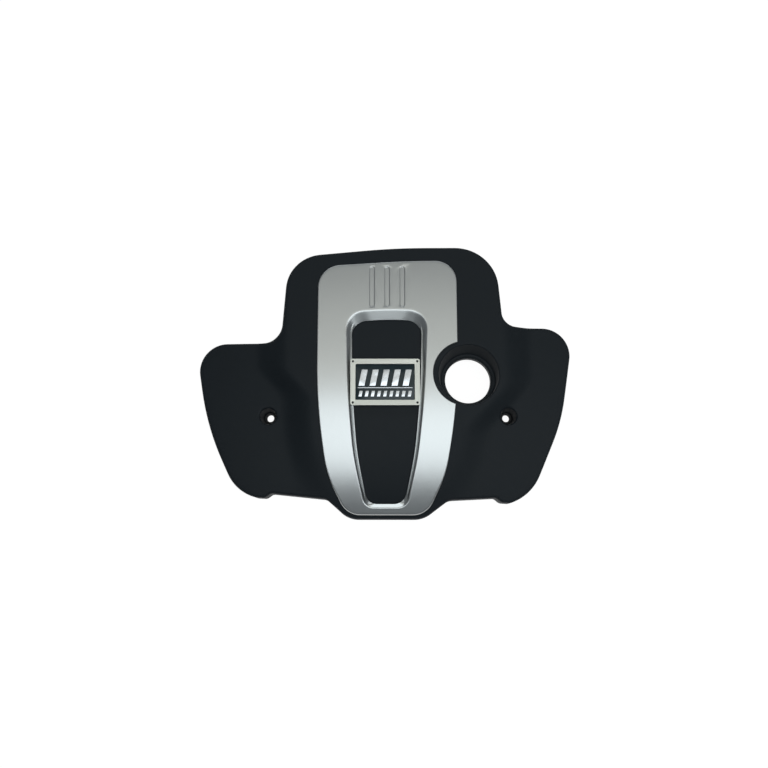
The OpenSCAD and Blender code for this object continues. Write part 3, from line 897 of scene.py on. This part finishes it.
def spring_steel():
    shader = Shader("spring_steel")
    rolled = shader.noise(scale=500, detail=2, stretch=(1, 0.06, 1))
    return shader.principled(
        base_color=shader.mix(rolled, dark=(0.40, 0.41, 0.42), light=(0.55, 0.56, 0.57)),
        metallic=1.0, roughness=0.26 + 0.16 * rolled)


# %% Dress every piece, and hide the imported node that a new piece takes the place of
FINISHES = {"shell": grained_plastic(), "trim": silver_paint(), "frame": cream_paint(),
            "panel": dark_gloss(), "relief": chromed(), "rubber": moulded_rubber(),
            "spring": spring_steel()}
NEW_PIECES = [(shell, "shell", "cover_shell", "shell_black"),
              (trim, "trim", "silver_trim", "trim_silver"),
              (frame_fine, "frame", "badge_frame", "badge_cream"),
              (panel_fine, "panel", "badge_panel", "badge_dark"),
              (relief_fine, "relief", "badge_relief", "badge_chrome"),
              (pins_fine, "rubber", "badge_pins", "pin_black")]
KEPT_NODES = {"trim_retainers": "spring", "bolt_grommet_left": "rubber",
              "bolt_grommet_right": "rubber", "rear_buffer_left": "rubber",
              "rear_buffer_right": "rubber"}


def dress(piece, material):
    piece.data.materials.clear()
    piece.data.materials.append(material)


for piece, finish, node, slot in NEW_PIECES:
    dress(piece, FINISHES[finish])
    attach(piece, "root")
    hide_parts(node)
for node, finish in KEPT_NODES.items():
    dress(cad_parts[node], FINISHES[finish])
print("dressed:", len(NEW_PIECES), "new pieces and", len(KEPT_NODES), "nodes")

# %% [markdown]
# ## The studio
# The cover lies on a white table, under two large soft lamps above its right side and a third one
# behind it, in a dim room. The lamps are mirrored in the silver trim, and their place and size
# give it its bands of light. The table is shown white to the camera and to reflections, but keeps
# the cover's shadow.

# %% The table
TABLE_SHOWN, TABLE_GLOW = 0.86, 1.12


def table_top():
    shader = Shader("white_table")
    path = shader.node("ShaderNodeLightPath", {}, {}, "Is Camera Ray")
    glossy = Socket(shader, path.output.node.outputs["Is Glossy Ray"])
    through = Socket(shader, path.output.node.outputs["Is Transmission Ray"])
    seen = path + glossy + through
    matt = shader.node("ShaderNodeBsdfDiffuse", {}, {"Color": (0.86, 0.86, 0.86, 1)})
    glow = shader.node("ShaderNodeEmission", {}, {"Color": (1, 1, 1, 1), "Strength": TABLE_GLOW})
    return shader.finish(shader.node("ShaderNodeMixShader", {},
                                     {0: TABLE_SHOWN * seen, 1: matt, 2: glow}))


deselect()
bpy.ops.mesh.primitive_plane_add(size=8)
table = bpy.context.object
table.name = "table"
dress(table, table_top())
print("the table is", table.dimensions.x, "m wide")

# %% Lamps and room
room = bpy.data.worlds.new("room")
bpy.context.scene.world = room
room.use_nodes = True
background = room.node_tree.nodes["Background"]
background.inputs["Color"].default_value = (0.86, 0.93, 1.0, 1)
background.inputs["Strength"].default_value = 0.16


def soft_lamp(name, place, aim, size, power, colour):
    """A rectangular lamp; places and size in metres, power in watts."""
    lamp = bpy.data.lights.new(name, "AREA")
    lamp.color = colour
    lamp.shape = "RECTANGLE"
    lamp.size, lamp.size_y = size
    lamp.energy = power
    holder = bpy.data.objects.new(name, lamp)
    bpy.context.scene.collection.objects.link(holder)
    holder.location = place
    holder.rotation_euler = (Vector(aim) - Vector(place)).to_track_quat("-Z", "Y").to_euler()
    print(name, "gives", power, "W")


soft_lamp("front_lamp", place=(0.75, -0.55, 2.0), aim=(0.75, 0, 0), size=(3.1, 1.2),
          power=21.5, colour=(0.91, 0.97, 1.0))
soft_lamp("top_lamp", place=(0.6, 0.4, 2.0), aim=(0.6, 0, 0), size=(2.8, 0.75),
          power=5.2, colour=(1.0, 1.0, 0.93))
soft_lamp("rear_lamp", place=(0, 2.2, 1.9), aim=(0, 0, 0), size=(3.0, 0.8),
          power=13, colour=(0.94, 0.98, 1.0))

# %% [markdown]
# ## The camera
# The photograph looks down on the cover from above its front edge. The lens is short enough to
# show the inner walls of the wells, so the camera's distance matters as much as its angle.

# %% Place the camera
LENS_MM, SENSOR_MM = 33.47, 36
CAMERA_PLACE = Vector((-0.0007, -0.19585, 1.07225))
CAMERA_AIM = Vector((-0.0007, -0.0036, 0.040))
lens = bpy.data.cameras.new("photo_camera")
lens.lens = LENS_MM
lens.sensor_width = SENSOR_MM
camera = bpy.data.objects.new("photo_camera", lens)
bpy.context.scene.collection.objects.link(camera)
camera.location = CAMERA_PLACE
camera.rotation_euler = (CAMERA_AIM - CAMERA_PLACE).to_track_quat("-Z", "Y").to_euler()
bpy.context.scene.camera = camera
bpy.context.scene.view_settings.view_transform = "Standard"
print("the camera is", round((CAMERA_AIM - CAMERA_PLACE).length, 2), "m from the cover")
